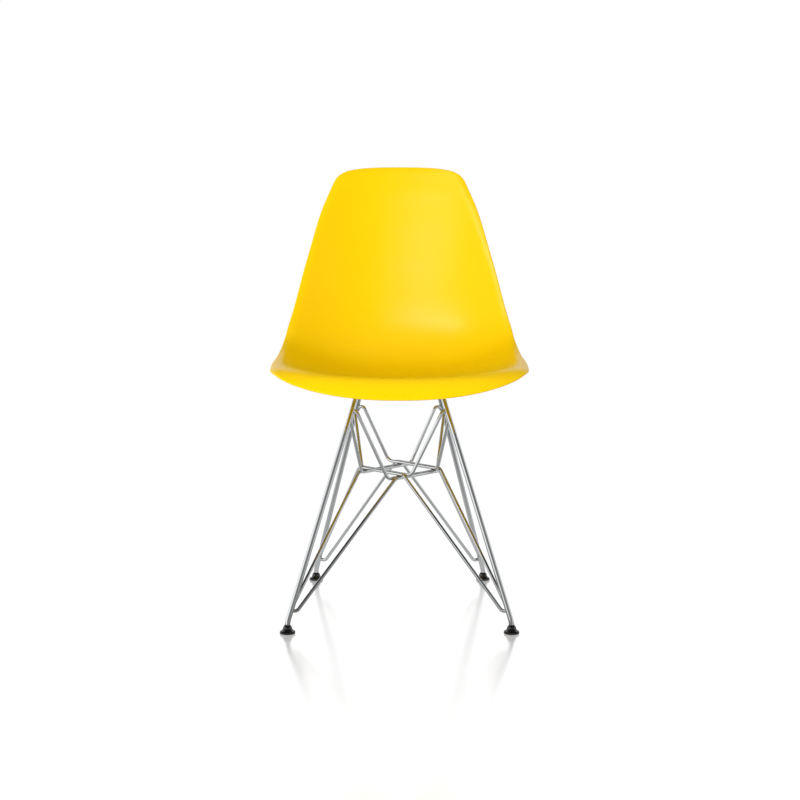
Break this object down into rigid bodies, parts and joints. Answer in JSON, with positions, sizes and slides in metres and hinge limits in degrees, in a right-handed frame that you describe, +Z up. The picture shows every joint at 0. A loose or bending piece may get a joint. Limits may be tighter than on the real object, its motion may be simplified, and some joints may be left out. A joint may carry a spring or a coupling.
{
  "type": "side_chair",
  "caption": "Armless side chair: moulded plastic shell seat and back on a welded chrome rod base with a wire ring and tilting round floor glides",
  "frame": {"origin": "on the floor, under the middle of the overall width and depth", "axes": "+Z up, the sitter faces -Y, +X to the right in the front view"},
  "size_m": [0.4486, 0.5432, 0.812],
  "materials": {
    "moulded_shell": "satin",
    "chrome_rod": "polished",
    "zinc_fasteners": "satin",
    "brass_inserts": "machined",
    "nylon_liner": "matte",
    "glide_plastic": "matte"
  },
  "bodies": {
    "chair": {"seat_shell": "moulded_shell", "threaded_inserts": "brass_inserts", "lock_washers": "zinc_fasteners", "mount_screws": "zinc_fasteners", "leg_rod_left": "chrome_rod", "leg_rod_right": "chrome_rod", "mount_tab_front_left": "chrome_rod", "upper_brace_front_left": "chrome_rod", "lower_brace_front_left": "chrome_rod", "glide_stud_front_left": "zinc_fasteners", "mount_tab_front_right": "chrome_rod", "upper_brace_front_right": "chrome_rod", "lower_brace_front_right": "chrome_rod", "glide_stud_front_right": "zinc_fasteners", "mount_tab_rear_left": "chrome_rod", "upper_brace_rear_left": "chrome_rod", "lower_brace_rear_left": "chrome_rod", "glide_stud_rear_left": "zinc_fasteners", "mount_tab_rear_right": "chrome_rod", "upper_brace_rear_right": "chrome_rod", "lower_brace_rear_right": "chrome_rod", "glide_stud_rear_right": "zinc_fasteners"},
    "liner_front_left": {"glide_liner_front_left": "nylon_liner"},
    "boot_front_left": {"glide_boot_front_left": "glide_plastic"},
    "liner_front_right": {"glide_liner_front_right": "nylon_liner"},
    "boot_front_right": {"glide_boot_front_right": "glide_plastic"},
    "liner_rear_left": {"glide_liner_rear_left": "nylon_liner"},
    "boot_rear_left": {"glide_boot_rear_left": "glide_plastic"},
    "liner_rear_right": {"glide_liner_rear_right": "nylon_liner"},
    "boot_rear_right": {"glide_boot_rear_right": "glide_plastic"}
  },
  "joints": [
    {"name": "glide_rock_front_left", "type": "hinge", "parent": "chair", "child": "liner_front_left", "pos_m": [-0.1915, -0.2308, 0.0085], "axis": [1, 0, 0], "range_deg": [-10, 10]},
    {"name": "glide_tilt_front_left", "type": "hinge", "parent": "liner_front_left", "child": "boot_front_left", "pos_m": [-0.1915, -0.2308, 0.0085], "axis": [0, 1, 0], "range_deg": [-10, 10]},
    {"name": "glide_rock_front_right", "type": "hinge", "parent": "chair", "child": "liner_front_right", "pos_m": [0.1915, -0.2308, 0.0085], "axis": [1, 0, 0], "range_deg": [-10, 10]},
    {"name": "glide_tilt_front_right", "type": "hinge", "parent": "liner_front_right", "child": "boot_front_right", "pos_m": [0.1915, -0.2308, 0.0085], "axis": [0, 1, 0], "range_deg": [-10, 10]},
    {"name": "glide_rock_rear_left", "type": "hinge", "parent": "chair", "child": "liner_rear_left", "pos_m": [-0.165, 0.1862, 0.0085], "axis": [1, 0, 0], "range_deg": [-10, 10]},
    {"name": "glide_tilt_rear_left", "type": "hinge", "parent": "liner_rear_left", "child": "boot_rear_left", "pos_m": [-0.165, 0.1862, 0.0085], "axis": [0, 1, 0], "range_deg": [-10, 10]},
    {"name": "glide_rock_rear_right", "type": "hinge", "parent": "chair", "child": "liner_rear_right", "pos_m": [0.165, 0.1862, 0.0085], "axis": [1, 0, 0], "range_deg": [-10, 10]},
    {"name": "glide_tilt_rear_right", "type": "hinge", "parent": "liner_rear_right", "child": "boot_rear_right", "pos_m": [0.165, 0.1862, 0.0085], "axis": [0, 1, 0], "range_deg": [-10, 10]}
  ]
}
